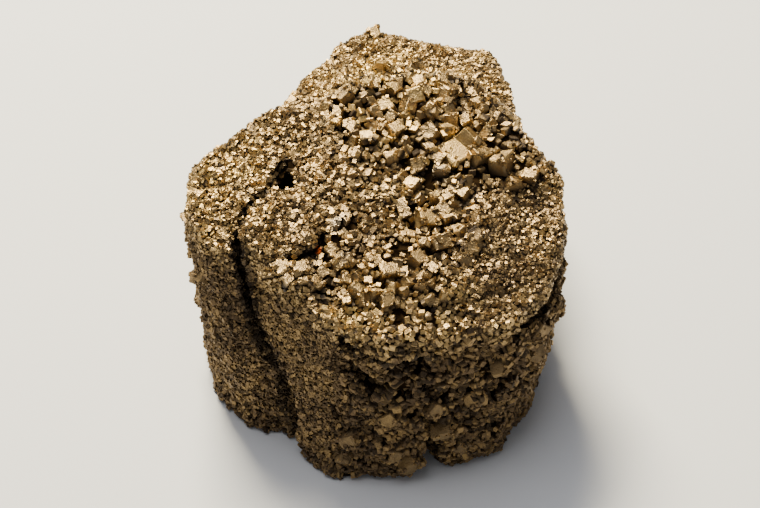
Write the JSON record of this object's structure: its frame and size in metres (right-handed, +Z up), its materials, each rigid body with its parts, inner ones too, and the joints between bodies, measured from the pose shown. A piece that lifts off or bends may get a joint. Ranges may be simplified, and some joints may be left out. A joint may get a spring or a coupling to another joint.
{
  "type": "pyrite specimen",
  "caption": "Hand-sized cluster of intergrown blocky pyrite masses, crusted all over with small cube-shaped crystals, standing on its flat underside.",
  "frame": {"origin": "centre of the bounding box in plan, at the flat underside the specimen stands on", "axes": "+Z up, +Y from the front face to the lower rear mass, +X to the viewer's right when facing the front face"},
  "size_m": [0.0588, 0.0736, 0.0463],
  "materials": {
    "pyrite": "metallic, tarnished brass-gold to brown crystal faces"
  },
  "bodies": {
    "root": {"pyrite_cluster": "pyrite"}
  },
  "joints": []
}
